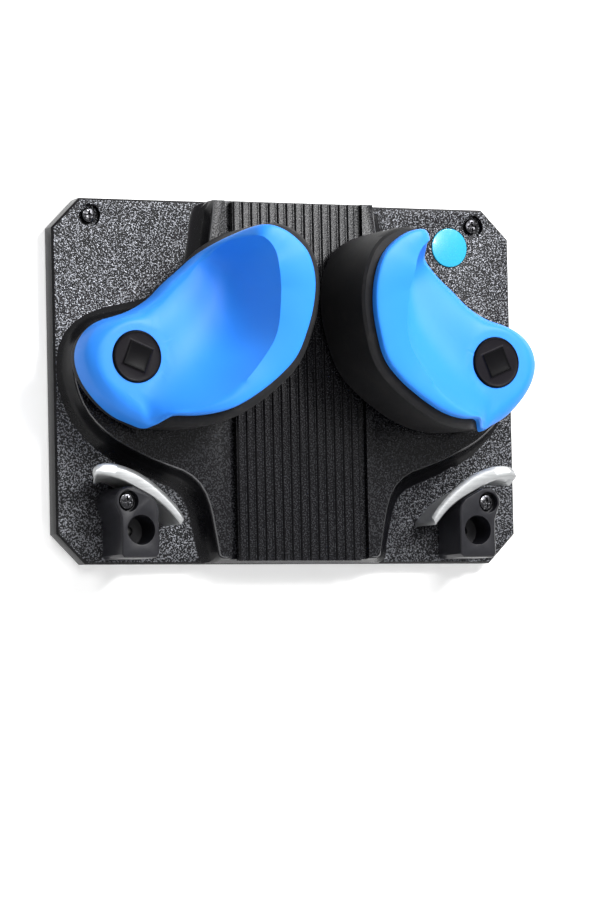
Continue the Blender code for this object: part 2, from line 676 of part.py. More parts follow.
def arm_cells(rings):
    """Return the pockets behind an arm's face as (inwards, up, depth)."""
    shape = loft([[Vector((u, -depth, v)) for u, v, depth in ring_points] for ring_points in rings])
    bmesh.ops.recalc_face_normals(shape, faces=shape.faces)
    bmesh.ops.triangulate(shape, faces=shape.faces)
    surface = BVHTree.FromBMesh(shape)
    shape.free()
    back = [(u, v) for u, v, depth in rings[-1]]
    ray_start = max(depth for ring_points in rings for u, v, depth in ring_points) + CUT_OVER
    pitch = ARM_CELL + ARM_RIB
    cells = []
    for column in range(0, 6):
        for row in range(-2, 5):
            u = ARM_CELL_U + column * pitch
            v = ARM_CELL_V + row * pitch
            points = [(u + i * ARM_CELL / 2, v + k * ARM_CELL / 2) for i in (-1, 0, 1) for k in (-1, 0, 1)]
            if any(not inside(back, *p) or edge_distance(back, *p) < ARM_WALL for p in points):
                continue
            if any(math.hypot(*p) < HUB_SOLID_RADIUS for p in points):
                continue
            depths = []
            for pu, pv in points:
                hit = surface.ray_cast(Vector((pu, -ray_start, pv)), Vector((0, 1, 0)))[0]
                depths.append(-hit.y)
            depth = min(depths) - ARM_WALL
            if depth > ARM_BACK_DEPTH + ARM_WALL:
                cells.append((u, v, depth))
    return cells


def arc(u, v, radius, start, stop, angles):
    """Return points on an arc about (u, v), one for each share of the way from start to stop."""
    turns = [start + (stop - start) * share for share in angles]
    return [(u + radius * math.cos(a), v + radius * math.sin(a)) for a in turns]


def stop_groove():
    """Return the curved groove that the stop pin rides in, inwards and up from the pivot."""
    half = STOP_RADIUS + TURN_GAP
    start = STOP_ANGLE - OPEN_LIMIT - STOP_SLACK
    stop = STOP_ANGLE + CLOSE_LIMIT + STOP_SLACK
    along = [i / 8 for i in range(9)]
    round_end = [i / 6 for i in range(1, 6)]
    first_u, first_v = STOP_ORBIT * math.cos(start), STOP_ORBIT * math.sin(start)
    last_u, last_v = STOP_ORBIT * math.cos(stop), STOP_ORBIT * math.sin(stop)
    return (arc(0, 0, STOP_ORBIT + half, start, stop, along)
            + arc(last_u, last_v, half, stop, stop + math.pi, round_end)
            + arc(0, 0, STOP_ORBIT - half, stop, start, along)
            + arc(first_u, first_v, half, start + math.pi, start + 2 * math.pi, round_end))


def make_arm_shell(name, side, rings, cells):
    """Make one cam arm with its bore, cap recess, stop groove and rear pockets."""
    arm = make_object(name, loft([[at(*from_arm(side, u, v), depth) for u, v, depth in points]
                                  for points in rings]), "blue_moulding")
    tools = bmesh.new()
    lathe(side * PIVOT_X, PIVOT_Z, [
        (ARM_BORE, ARM_BACK_DEPTH - CUT_OVER), (ARM_BORE, HUB_SEAT_DEPTH), (CAP_RECESS, HUB_SEAT_DEPTH),
        (CAP_RECESS, HUB_FACE_DEPTH + CUT_OVER)], ROUND_STEPS, tools)
    prism([from_arm(side, u, v) for u, v in stop_groove()], ARM_BACK_DEPTH - CUT_OVER,
          ARM_BACK_DEPTH + STOP_REACH + TURN_GAP, tools)
    for u, v, depth in cells:
        r = ARM_CELL / 2
        corners = [from_arm(side, u + i * r, v + k * r) for i, k in ((-1, -1), (1, -1), (1, 1), (-1, 1))]
        prism(corners, ARM_BACK_DEPTH - CUT_OVER, depth, tools)
    boolean(arm, tools)
    return arm


def make_arm_grip(name, side):
    """Make the rubber band round one arm, which swells into the grip on its contact side."""
    rings = []
    for row in arm_samples():
        inner = FIT_GAP - ARM_REBATE
        outer = (GRIP_PROUD + BAND_INSET) * row["grip"] - BAND_INSET
        front = row["edge"] - ARM_LIP - LIP_DROP - FIT_GAP
        back = ARM_BACK_DEPTH + GRIP_BACK_STEP
        section = [(inner, back), (outer - GRIP_EDGE, back), (outer, back + GRIP_EDGE),
                   (outer, front - GRIP_EDGE), (outer - GRIP_EDGE, front), (inner, front)]
        nu, nv = row["normal"]
        rings.append([at(*from_arm(side, row["u"] + nu * off, row["v"] + nv * off), depth)
                      for off, depth in section])
    return make_object(name, hoop(rings), "black_rubber")


def make_pivot(name, side):
    """Make the bolt, bush, washers, nut, cap and stop pin of one arm's pivot."""
    x, z = side * PIVOT_X, PIVOT_Z
    head = BOLT_HEAD_BACK
    make_object(name + "_pivot_bolt", lathe(x, z, [
        (BOLT_RADIUS - BOLT_POINT_EDGE, NUT_FLOOR / 2), (BOLT_RADIUS, NUT_FLOOR / 2 + BOLT_POINT_EDGE),
        (BOLT_RADIUS, head),
        (BOLT_HEAD_RADIUS, head), (BOLT_HEAD_RADIUS, head + BOLT_HEAD_HEIGHT * 0.55),
        (BOLT_HEAD_RADIUS * 0.8, head + BOLT_HEAD_HEIGHT * 0.88),
        (BOLT_HEAD_RADIUS * 0.45, head + BOLT_HEAD_HEIGHT)], 24), "zinc_steel")
    bolt = bpy.data.objects[name + "_pivot_bolt"]
    boolean(bolt, prism(circle(x, z, BOLT_SOCKET_RADIUS, 6), head + BOLT_HEAD_HEIGHT * 0.35, head + CUT_OVER))
    bush_front = HUB_SEAT_DEPTH - FIT_GAP
    make_object(name + "_pivot_bush", ring(x, z, BOLT_BORE, BUSH_RADIUS, ARM_BACK_DEPTH, bush_front, 24),
                "white_nylon")
    thrust_back = BODY_DEPTH + FIT_GAP
    make_object(name + "_thrust_washer", ring(x, z, BOLT_BORE, THRUST_RADIUS, thrust_back,
                                              thrust_back + WASHER_THICKNESS), "white_nylon")
    make_object(name + "_retaining_washer", ring(x, z, BOLT_BORE, RETAINER_RADIUS, RETAINER_BACK,
                                                 RETAINER_BACK + RETAINER_THICKNESS, 24), "zinc_steel")
    nut_corner = NUT_ACROSS_FLATS / 2 / math.cos(math.radians(30))
    nut_front = NUT_FLOOR + NUT_HEIGHT
    nut = make_object(name + "_pivot_nut", prism(circle(x, z, nut_corner, 6), NUT_FLOOR, nut_front),
                      "zinc_steel")
    boolean(nut, prism(circle(x, z, BOLT_BORE, 24), NUT_FLOOR - CUT_OVER, nut_front + CUT_OVER))
    disc_back = CAP_FACE_DEPTH - CAP_DISC
    cap = make_object(name + "_pivot_cap", lathe(x, z, [
        (CAP_RADIUS - CAP_SKIRT, disc_back), (CAP_RADIUS - CAP_SKIRT, RETAINER_BACK),
        (CAP_RADIUS, RETAINER_BACK), (CAP_RADIUS, CAP_FACE_DEPTH - CAP_EDGE),
        (CAP_RADIUS - CAP_EDGE, CAP_FACE_DEPTH)]), "charcoal_cap")
    half = CAP_SQUARE / math.sqrt(2)
    turn = CAP_SQUARE_TURN * -side + math.radians(45)
    boolean(cap, prism(circle(x, z, half, 4, turn), CAP_FACE_DEPTH - CAP_SQUARE_ROOT,
                       CAP_FACE_DEPTH + CAP_SQUARE_HEIGHT), "UNION")
    pin_x, pin_z = stop_place(side)
    pin_back = BODY_DEPTH - STOP_SINK
    pin_front = ARM_BACK_DEPTH + STOP_REACH
    make_object(name + "_stop_pin", lathe(pin_x, pin_z, [
        (STOP_RADIUS - STOP_EDGE, pin_back), (STOP_RADIUS, pin_back + STOP_EDGE),
        (STOP_RADIUS, pin_front - STOP_EDGE), (STOP_RADIUS - STOP_EDGE, pin_front)], SMALL_STEPS),
        "zinc_steel")


def cross_slot(x, z, depth):
    """Return a cross-shaped cutter that sinks a driver slot below the given depth."""
    w, r = CROSS_WIDTH / 2, CROSS_REACH
    outline = [(-w, -r), (w, -r), (w, -w), (r, -w), (r, w), (w, w),
               (w, r), (-w, r), (-w, w), (-r, w), (-r, -w), (-w, -w)]
    return prism([(x + px, z + pz) for px, pz in outline], depth - CROSS_DEPTH, depth + CUT_OVER)


def make_wall_screw(name, x, z, seat, head_radius):
    """Make a pan-head wood screw that runs back through the plate into the wall."""
    back = seat + FIT_GAP
    front = back + SCREW_HEAD_HEIGHT
    screw = make_object(name, lathe(x, z, [
        (SCREW_TIP, -SCREW_IN_WALL), (SCREW_SHANK, SCREW_POINT - SCREW_IN_WALL), (SCREW_SHANK, back),
        (head_radius, back), (head_radius, back + SCREW_HEAD_HEIGHT * 0.5),
        (head_radius * 0.86, back + SCREW_HEAD_HEIGHT * 0.82), (head_radius * 0.5, front)], SMALL_STEPS),
        "black_screw")
    boolean(screw, cross_slot(x, z, front))


def above_foot(points):
    """Turn (x, height above the plate's foot) into (x, z)."""
    return [(x, FOOT + height) for x, height in points]


def bracket_seat():
    """Return the bracket's top edge, just under the saddle, from its inner end outwards."""
    underside = [bottom for top, bottom in saddle_stations()]
    seat = []
    for i in range(1, len(underside) - 1):
        x, z = underside[i]
        if not SEAT_INNER_X < x < SEAT_OUTER_X:
            continue
        dx = underside[i + 1][0] - underside[i - 1][0]
        dz = underside[i + 1][1] - underside[i - 1][1]
        size = math.hypot(dx, dz)
        seat.append((x - dz * SADDLE_SEAT_GAP / size, z + dx * SADDLE_SEAT_GAP / size))
    seat.reverse()
    return seat


def make_bracket(name, side):
    """Make the pillar that carries a saddle and takes the lower wall screw."""
    outline = [(side * x, z) for x, z in above_foot(BRACKET_EDGE) + bracket_seat()]
    face = [(x - nx * BRACKET_EDGE_ROUND, z - nz * BRACKET_EDGE_ROUND)
            for (x, z), (nx, nz) in zip(outline, outward_normals(outline))]
    back = PLATE_DEPTH + FIT_GAP
    bracket = make_object(name, loft([
        [at(x, z, back) for x, z in outline],
        [at(x, z, BRACKET_DEPTH - BRACKET_EDGE_ROUND) for x, z in outline],
        [at(x, z, BRACKET_DEPTH) for x, z in face]]), "matte_black")
    tools = bmesh.new()
    lathe(side * LOWER_SCREW_X, LOWER_SCREW_Z, [
        (SCREW_HOLE, 0), (SCREW_HOLE, BRACKET_DEPTH - LOWER_RECESS_DEPTH),
        (LOWER_RECESS_RADIUS, BRACKET_DEPTH - LOWER_RECESS_DEPTH),
        (LOWER_RECESS_RADIUS, BRACKET_DEPTH + CUT_OVER)], SMALL_STEPS, tools)
    ledge = BRACKET_DEPTH - WELL_DEPTH
    lathe(side * WELL_X, WELL_Z, [(SCREW_HOLE, 0), (SCREW_HOLE, ledge), (WELL_RADIUS, ledge),
                                  (WELL_RADIUS, BRACKET_DEPTH + CUT_OVER)], ROUND_STEPS, tools)
    boolean(bracket, tools)
    boolean(bracket, saddle_screw_shape(side, FIT_GAP))


def saddle_stations():
    """Return matching points of the lip's top and bottom edges, from the outer end inwards."""
    return list(zip(spline(above_foot(LIP_TOP), SADDLE_STEPS), spline(above_foot(LIP_BOTTOM), SADDLE_STEPS)))


def saddle_screw_shape(side, grow):
    """Return the saddle screw, grown by a clearance, square to the saddle's sheet."""
    stations = saddle_stations()
    k = min(range(1, len(stations) - 1), key=lambda i: abs(stations[i][1][0] - SADDLE_SCREW_X))
    (x, z), (xa, za), (xb, zb) = stations[k][1], stations[k - 1][1], stations[k + 1][1]
    size = math.hypot(xb - xa, zb - za)
    up = Vector((side * (zb - za) / size, 0, -(xb - xa) / size))
    if up.z < 0:
        up.negate()
    foot = at(side * x, z, SADDLE_SCREW_DEPTH)
    across = up.cross(Vector((0, 1, 0)))
    wallward = Vector((0, 1, 0))
    seat = SADDLE_SHEET + FIT_GAP
    shank = SADDLE_SCREW_SHANK + grow
    profile = [(SADDLE_SCREW_SHANK * 0.5 + grow, -SADDLE_SCREW_LENGTH - grow),
               (shank, SADDLE_SCREW_POINT - SADDLE_SCREW_LENGTH), (shank, seat)]
    if grow:
        profile.append((shank, seat + CUT_OVER / 2))
    else:
        profile += [(SADDLE_SCREW_HEAD, seat), (SADDLE_SCREW_HEAD, seat + SADDLE_SCREW_DOME / 2),
                    (SADDLE_SCREW_HEAD * 0.7, seat + SADDLE_SCREW_DOME)]
    rings = []
    for radius, height in profile:
        middle = foot + up * height
        rings.append([middle + across * px + wallward * pz for px, pz in circle(0, 0, radius, 16)])
    return loft(rings)


def make_saddle(name, side):
    """Make the satin saddle: a sheet with an upright lip, rolled down towards the wall at its outer end."""
    rings = []
    stations = saddle_stations()
    tip_x = stations[0][1][0]
    behind = SADDLE_FRONT - SADDLE_LIP
    for (tx, tz), (bx, bz) in stations:
        back = max(SADDLE_FRONT - SADDLE_TIP_REACH - (tip_x - bx) * SADDLE_TIP_RAKE, PLATE_DEPTH + FIT_GAP)
        middle = behind + (back - behind) * 0.4
        size = math.hypot(tx - bx, tz - bz)
        ux, uz = (tx - bx) / size, (tz - bz) / size
        sheet = min(SADDLE_SHEET, size * 0.75)
        edge = min(SADDLE_EDGE, size * 0.2)
        bevel = min(SADDLE_BEVEL, size * 0.35)
        roll = SADDLE_ROLL * blend((bx - SADDLE_ROLL_X) / SADDLE_ROLL_RUN)
        section = [(0, SADDLE_FRONT - edge), (edge, SADDLE_FRONT), (size - bevel, SADDLE_FRONT),
                   (size, SADDLE_FRONT - SADDLE_BEVEL_DEPTH), (size, behind), (sheet, behind),
                   (sheet - roll * 0.7, middle), (sheet - roll, back), (-roll, back), (-roll * 0.7, middle)]
        rings.append([at(side * (bx + ux * height), bz + uz * height, depth) for height, depth in section])
    saddle = make_object(name, loft(rings), "satin_silver")
    boolean(saddle, saddle_screw_shape(side, FIT_GAP))


def make_badge():
    """Make the plain round badge, sunk a little into the plate."""
    back = PLATE_DEPTH - BADGE_SINK + FIT_GAP
    front = back + BADGE_THICKNESS
    make_object("badge_blank", lathe(BADGE_X, BADGE_Z, [
        (BADGE_RADIUS, back), (BADGE_RADIUS, front - BADGE_EDGE), (BADGE_RADIUS - BADGE_EDGE, front)]),
        "cyan_badge")


def main():
    """Build the rack."""
    clear_scene()
    make_back_plate()
    make_ribbed_pad()
    rings = arm_rings()
    cells = arm_cells(rings)
    for name, side in (("left", -1), ("right", 1)):
        make_arm_shell(name + "_arm_shell", side, rings, cells)
        make_arm_grip(name + "_arm_grip", side)
        make_pivot(name, side)
        make_bracket(name + "_hook_bracket", side)
        make_saddle(name + "_hook_saddle", side)
        make_object(name + "_saddle_screw", saddle_screw_shape(side, 0), "black_screw")
        make_wall_screw("upper_" + name + "_wall_screw", side * UPPER_SCREW_X, UPPER_SCREW_Z,
                        PLATE_DEPTH - UPPER_RECESS_DEPTH, UPPER_HEAD_RADIUS)
        make_wall_screw("lower_" + name + "_wall_screw", side * LOWER_SCREW_X, LOWER_SCREW_Z,
                        BRACKET_DEPTH - LOWER_RECESS_DEPTH, LOWER_HEAD_RADIUS)
    make_badge()


main()
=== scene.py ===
# %% [markdown]
# This scene dresses a wall rack: two blue cam arms that turn on bolts and grip what hangs between
# them with rubber bands, and two curved hooks below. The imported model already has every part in
# its true place. So the scene only loads it, gives each part the roundness and the finish of the
# real one, and sets up light and camera.

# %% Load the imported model
import json
import math

import bpy
import numpy as np
from mathutils import Matrix, Vector

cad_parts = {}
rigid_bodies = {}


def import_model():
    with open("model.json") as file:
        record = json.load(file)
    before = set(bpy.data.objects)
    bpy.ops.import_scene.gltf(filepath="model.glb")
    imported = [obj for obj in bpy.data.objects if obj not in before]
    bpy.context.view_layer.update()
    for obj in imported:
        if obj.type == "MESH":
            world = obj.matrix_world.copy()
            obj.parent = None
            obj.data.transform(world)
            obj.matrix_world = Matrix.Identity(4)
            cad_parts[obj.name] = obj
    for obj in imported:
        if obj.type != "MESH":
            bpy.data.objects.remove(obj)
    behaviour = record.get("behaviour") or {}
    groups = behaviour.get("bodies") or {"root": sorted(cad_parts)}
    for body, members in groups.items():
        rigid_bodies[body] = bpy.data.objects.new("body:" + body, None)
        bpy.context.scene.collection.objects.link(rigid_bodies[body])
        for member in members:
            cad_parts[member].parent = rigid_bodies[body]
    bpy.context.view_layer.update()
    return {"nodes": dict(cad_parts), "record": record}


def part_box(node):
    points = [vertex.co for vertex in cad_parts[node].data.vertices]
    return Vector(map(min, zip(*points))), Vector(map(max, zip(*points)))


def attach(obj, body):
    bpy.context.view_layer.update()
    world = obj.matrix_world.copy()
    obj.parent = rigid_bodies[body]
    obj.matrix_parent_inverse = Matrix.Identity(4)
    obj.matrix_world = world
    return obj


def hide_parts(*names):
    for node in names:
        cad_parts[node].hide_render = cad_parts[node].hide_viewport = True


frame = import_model()
nodes = frame["nodes"]
bodies = frame["record"]["behaviour"]["bodies"]
body_of_node = {name: body for body, names in bodies.items() for name in names}
print("solids:", len(nodes), "bodies:", sorted(bodies))

# %% [markdown]
# A finish is a small network of shader nodes. Linked by hand, each would take a page. So a Wire
# stands for one output socket, and an operator used on it adds a Math node. ShaderNodes adds and
# links any other node, and a Finish is the ShaderNodes of one material.

# %% Wires and finishes


class Wire:
    """One output socket, with arithmetic that adds Math nodes."""

    def __init__(self, network, socket):
        self.network = network
        self.socket = socket

    def maths(self, operation, first, second):
        """Add a Math node on two values, each a Wire or a number."""
        return self.network.add("ShaderNodeMath", {"operation": operation}, {0: first, 1: second})

    def __add__(self, other):
        return self.maths("ADD", self, other)

    def __sub__(self, other):
        return self.maths("SUBTRACT", self, other)

    def __rsub__(self, other):
        return self.maths("SUBTRACT", other, self)

    def __mul__(self, other):
        return self.maths("MULTIPLY", self, other)

    def __pow__(self, other):
        return self.maths("POWER", self, other)

    __radd__ = __add__
    __rmul__ = __mul__

    def either(self, other):
        """Return the larger of two values."""
        return self.maths("MAXIMUM", self, other)

    def above(self, edge, width):
        """Go from 0 to 1 as the value rises past an edge over a width."""
        return self.network.add("ShaderNodeMapRange", {"interpolation_type": "SMOOTHSTEP"},
                                {0: self, 1: edge - width / 2, 2: edge + width / 2})


class ShaderNodes:
    """A node tree whose nodes are added and linked by short calls."""

    def __init__(self, tree):
        self.tree = tree

    def link(self, value, socket):
        """Put a Wire or a plain value on an input socket."""
        if isinstance(value, Wire):
            self.tree.links.new(value.socket, socket)
        else:
            socket.default_value = value

    def add(self, kind, settings, values, output=0):
        """Add a node, set it, fill its sockets and return one output as a Wire."""
        node = self.tree.nodes.new(kind)
        for name, value in settings.items():
            setattr(node, name, value)
        for name, value in values.items():
            self.link(value, node.inputs[name])
        return Wire(self, node.outputs[output])


class Finish(ShaderNodes):
    """A material, with the few patterns that the rack's finishes are made of."""

    def __init__(self, name, colour, roughness, metallic=0.0):
        self.material = bpy.data.materials.new(name)
        self.material.use_nodes = True
        super().__init__(self.material.node_tree)
        self.shader = self.tree.nodes["Principled BSDF"]
        self.material.diffuse_color = (*colour, 1)
        self.set("Base Color", (*colour, 1))
        self.set("Roughness", roughness)
        self.set("Metallic", metallic)
        self.place = self.add("ShaderNodeTexCoord", {}, {}, "Object")

    def __str__(self):
        return f"finish {self.material.name}: {len(self.tree.nodes)} nodes"

    def set(self, name, value):
        """Put a Wire or a plain value on one of the shader's sockets."""
        self.link(value, self.shader.inputs[name])

    def noise(self, scale, detail=2.0, roughness=0.5, place=None):
        """Return a noise pattern, whose lumps are finer the larger its scale."""
        return self.add("ShaderNodeTexNoise", {}, {
            "Vector": place or self.place, "Scale": scale,
            "Detail": detail, "Roughness": roughness})

    def stretched(self, x, y, z):
        """Return the place scaled along each axis, for grain that runs one way."""
        return self.add("ShaderNodeMapping", {}, {"Vector": self.place, "Scale": (x, y, z)})

    def blend(self, share, first, second):
        """Mix two colours by a share."""
        return self.add("ShaderNodeMix", {"data_type": "RGBA"}, {0: share, 6: first, 7: second}, 2)

    def part(self, axis):
        """Return one coordinate of the place."""
        return self.add("ShaderNodeSeparateXYZ", {}, {0: self.place}, axis)

    def direction(self, axis):
        """Return one coordinate of the way the surface faces."""
        normal = self.add("ShaderNodeTexCoord", {}, {}, "Normal")
        return self.add("ShaderNodeSeparateXYZ", {}, {0: normal}, axis)

    def bump(self, height, distance, strength):
        """Bump the surface by a height that counts in shares of a distance in metres."""
        self.set("Normal", self.add("ShaderNodeBump", {}, {
            "Height": height, "Distance": distance, "Strength": strength}))


# %% [markdown]
# The plate and its ribbed pad are one black plastic. The mould was etched where it formed the
# plate's flat panels, and only faintly on the face of the raised body, whose fewer pale crests are
# partly painted shade. The slopes came out smooth. The edge round the body's face, apart from the
# spine's, has a painted highlight: it is paler and partly metallic. Every mask comes from the
# surface itself, from its place and the way it faces, so it stays put in any view.

# %% Black moulding: where it is etched, and where shade and a highlight are painted
BODY_SIDE = 0.0140  # out from the wall, past the flat panels and short of the body's face
BODY_BRINK = 0.0201  # out from the wall, where the body's edge rounds over
SPINE_HALF = 0.040  # half the width of the spine, whose edges get no painted highlight
ETCH_AND_SHADE_LACKING = 0.84  # share of etch the raised face lacks, partly painted shade
STRAIGHT_OUT = 0.93  # how squarely a face looks out from the wall, to count as a flat panel

moulding = Finish("black_moulding", colour=(0.012, 0.012, 0.013), roughness=0.4)
depth = moulding.part("Y") * -1
facing = (moulding.direction("Y") * -1).above(STRAIGHT_OUT, width=0.05)
# The raised face keeps little etch: fainter grain, and fewer pale crests as partly painted shade.
etch_and_shade = (1 - depth.above(BODY_SIDE, width=0.004) * ETCH_AND_SHADE_LACKING) * facing
# The mask of the painted highlight: the rounded edge of the body's face, apart from the spine's.
brink = depth.above(BODY_BRINK, width=0.0004) * (1 - facing)
edge_highlight = brink * (moulding.part("X") ** 2).above(SPINE_HALF ** 2, width=0.0001)
print(moulding, "for its masks")

# %% [markdown]
# The etch is a leathery grain just under a millimetre across. Its crests are polished: they are
# greyer than the plastic and partly metallic, so that each mirrors a lamp as a bright speck. One
# noise feeds both the colour and the bump, so the pale specks sit on the real crests. A slow
# drift in roughness keeps a panel from shining evenly, as no moulded panel does.

# %% Black moulding: colour, shine and grain
PIT = (0.002, 0.002, 0.003, 1)
CREST = (0.138, 0.142, 0.155, 1)
SMOOTH = (0.006, 0.006, 0.007, 1)
# A painted highlight for the edge of the body's face:
EDGE_HIGHLIGHT = (0.13, 0.131, 0.136, 1)

grain = moulding.noise(scale=1250, detail=1.5, roughness=0.55)
crest = grain.above(0.55, width=0.10)
drift = moulding.noise(scale=30, detail=3)
speckle = moulding.blend(crest, PIT, CREST)
plain = moulding.blend(grain, PIT, SMOOTH)
moulded = moulding.blend(etch_and_shade, plain, speckle)
# The edge of the body's face gets its painted highlight here, in colour and in metal.
moulding.set("Base Color", moulding.blend(edge_highlight, moulded, EDGE_HIGHLIGHT))
moulding.set("Metallic", etch_and_shade * crest * 0.75 + edge_highlight * 0.7)
moulding.set("Roughness", etch_and_shade * (drift * 0.16 + 0.02) + drift * 0.06 + 0.20)
moulding.set("Specular IOR Level", 0.16)
moulding.bump(grain * (etch_and_shade * 0.33 + 0.03) * facing, distance=0.0016, strength=0.9)
print(moulding)

# %% [markdown]
# The pillars of the hooks are separate mouldings from a polished mould. Their faces have a satin
# sheen, lighter than the body behind them, and the round edges of their wells catch the light. A
# haze in colour and roughness together is enough for that.

# %% Satin black
satin = Finish("satin_black", colour=(0.009, 0.009, 0.012), roughness=0.32)
haze = satin.noise(scale=160, detail=4, roughness=0.6)
satin.set("Base Color", satin.blend(haze, (0.006, 0.006, 0.008, 1), (0.014, 0.014, 0.018, 1)))
satin.set("Roughness", haze * 0.20 + 0.22)
satin.set("Specular IOR Level", 0.26)
satin.bump(satin.noise(scale=1900), distance=0.00004, strength=0.4)
print(satin)

# %% [markdown]
# The arms are moulded in a bright satin blue. Up close such plastic has a very fine orange-peel
# ripple, and its shine drifts from place to place where use has polished it. So the roughness
# follows a slow noise and a few faint rubbing marks, which run up and down.

# %% Blue moulding
blue = Finish("blue_moulding", colour=(0.024, 0.245, 0.860), roughness=0.48)
polish = blue.noise(scale=45, detail=3)
upright_grain = blue.stretched(1.0, 1.0, 0.16)
rub = blue.noise(scale=420, detail=4, roughness=0.6, place=upright_grain).above(0.64, width=0.1)
tone = polish * 0.5 + rub * 0.12
blue.set("Base Color", blue.blend(tone, (0.021, 0.232, 0.850, 1), (0.028, 0.262, 0.880, 1)))
blue.set("Roughness", polish * 0.10 + rub * 0.06 + 0.44)
blue.set("Specular IOR Level", 0.30)
ripple = blue.noise(scale=1500) * 0.5 + blue.noise(scale=160)
blue.bump(ripple, distance=0.00004, strength=0.4)
print(blue)

# %% [markdown]
# The bands round the arms are black rubber, matt and a little dusty, with a fine moulded grain.
# The dust is a paler blotch in the colour, and a change in roughness at the same places.

# %% Rubber
rubber = Finish("black_rubber", colour=(0.008, 0.008, 0.009), roughness=0.62)
dust = rubber.noise(scale=120, detail=5, roughness=0.65)
dusty = dust.above(0.62, width=0.3)
rubber.set("Base Color", rubber.blend(dusty, (0.006, 0.006, 0.007, 1), (0.016, 0.015, 0.015, 1)))
rubber.set("Roughness", dust * 0.2 + 0.52)
rubber.set("Specular IOR Level", 0.2)
fine_grain = rubber.noise(scale=2400, detail=3) + rubber.noise(scale=600) * 0.4
rubber.bump(fine_grain, distance=0.0001, strength=0.6)
print(rubber)

# %% [markdown]
# The caps are a charcoal plastic with a finer etch than the plate's. The raised square is a deeper
# black than the disc, and the disc's edge is painted as deep black, a painted shade of the gap
# round the cap. One mask is the distance from the pivot's axis, the same for both caps because X
# counts without its sign, and the other is the depth.

# %% Charcoal caps
PIVOT_ASIDE = 0.0987  # each pivot's distance from the middle of the rack
PIVOT_UP = 0.009  # both pivots' height above it
DISC_FACE = 0.0119  # radius at which the disc's edge begins
SQUARE_FOOT = 0.04835  # out from the wall, between the disc's face and the square's
DEEP_BLACK_AND_SHADE = (0.0008, 0.0008, 0.0012, 1)
CHARCOAL = (0.008, 0.007, 0.009, 1)

charcoal = Finish("charcoal_cap", colour=(0.009, 0.009, 0.011), roughness=0.45)
sideways = (charcoal.part("X") * charcoal.part("X")) ** 0.5 - PIVOT_ASIDE
upwards = charcoal.part("Z") - PIVOT_UP
# Painted shade: the disc's edge is made deep black to stand for the gap round the cap.
disc_edge_shade = (sideways * sideways + upwards * upwards).above(DISC_FACE ** 2, width=0.00001)
square = (charcoal.part("Y") * -1).above(SQUARE_FOOT, width=0.0002)
disc = charcoal.blend(square, CHARCOAL, DEEP_BLACK_AND_SHADE)
charcoal.set("Base Color", charcoal.blend(disc_edge_shade, disc, DEEP_BLACK_AND_SHADE))
charcoal.set("Roughness", charcoal.noise(scale=90, detail=3) * 0.2 + 0.24)
charcoal.set("Specular IOR Level", 0.06)
charcoal.bump(charcoal.noise(scale=3000, detail=3), distance=0.00009, strength=0.6)
print(charcoal)

# %% [markdown]
# The hooks are bent from aluminium sheet with a satin brushed along its length. A noise that is
# stretched along X follows the bend closely enough, and it drives colour, roughness and bump
# together, as a scratch does.

# %% Satin aluminium
silver = Finish("satin_aluminium", colour=(0.27, 0.275, 0.28), roughness=0.36, metallic=0.85)
brush = silver.noise(scale=900, detail=4, roughness=0.6, place=silver.stretched(0.10, 1.0, 1.0))
silver.set("Base Color", silver.blend(brush, (0.25, 0.257, 0.263, 1), (0.45, 0.457, 0.46, 1)))
silver.set("Roughness", brush * 0.22 + 0.26)
silver.bump(brush, distance=0.00005, strength=0.6)
print(silver)

# %% [markdown]
# The steel comes in two platings. The pivots' bolts, nuts, pins and outer washers are bright
# zinc. The screws are plated black, and the plating is worn through to paler metal in places.

# %% Plated steel
zinc = Finish("zinc_plate", colour=(0.55, 0.55, 0.56), roughness=0.3, metallic=1.0)
zinc.set("Roughness", zinc.noise(scale=500, detail=4) * 0.25 + 0.20)
zinc.bump(zinc.noise(scale=1300), distance=0.00002, strength=0.4)
print(zinc)

steel = Finish("black_plated_steel", colour=(0.045, 0.045, 0.048), roughness=0.25, metallic=1.0)
wear = steel.noise(scale=700, detail=4).above(0.62, width=0.12)
steel.set("Base Color", steel.blend(wear, (0.034, 0.034, 0.037, 1), (0.26, 0.26, 0.27, 1)))
steel.set("Roughness", steel.noise(scale=900, detail=3) * 0.16 + 0.16)
print(steel)

# %% [markdown]
# The bushes and the thrust washers that the arms turn on are nylon, left in its natural pale
# colour. The badge is a smooth cyan plastic with a thin clear coat, the glossiest thing here.
# Neither shows a pattern, so only the roughness and a faint ripple vary.

# %% Nylon and badge
nylon = Finish("natural_nylon", colour=(0.70, 0.69, 0.65), roughness=0.45)
nylon.set("Roughness", nylon.noise(scale=300, detail=3) * 0.2 + 0.38)
nylon.bump(nylon.noise(scale=1600), distance=0.00004, strength=0.5)
print(nylon)

cyan = Finish("cyan_badge", colour=(0.010, 0.350, 0.560), roughness=0.28)
cyan.set("Roughness", cyan.noise(scale=400, detail=3) * 0.12 + 0.20)
cyan.set("Coat Weight", 0.4)
cyan.bump(cyan.noise(scale=900), distance=0.00002, strength=0.4)
print(cyan)

# %% [markdown]
# Blender's operators act on whatever is selected, so each step on a piece begins by selecting
# only that piece. These helpers do that, enter and leave edit mode round the mesh operators, and
# add a modifier and apply it at once.

# %% Selection helpers


def only(piece):
    """Select one object and make it active."""
    bpy.ops.object.select_all(action="DESELECT")
    piece.select_set(True)
    bpy.context.view_layer.objects.active = piece


def edit(piece, mode="EDGE", action="DESELECT"):
    """Enter edit mode on one object, with everything deselected or selected."""
    only(piece)
    bpy.ops.object.mode_set(mode="EDIT")
    bpy.ops.mesh.select_mode(type=mode)
    bpy.ops.mesh.select_all(action=action)


def leave():
    """Leave edit mode."""
    bpy.ops.object.mode_set(mode="OBJECT")


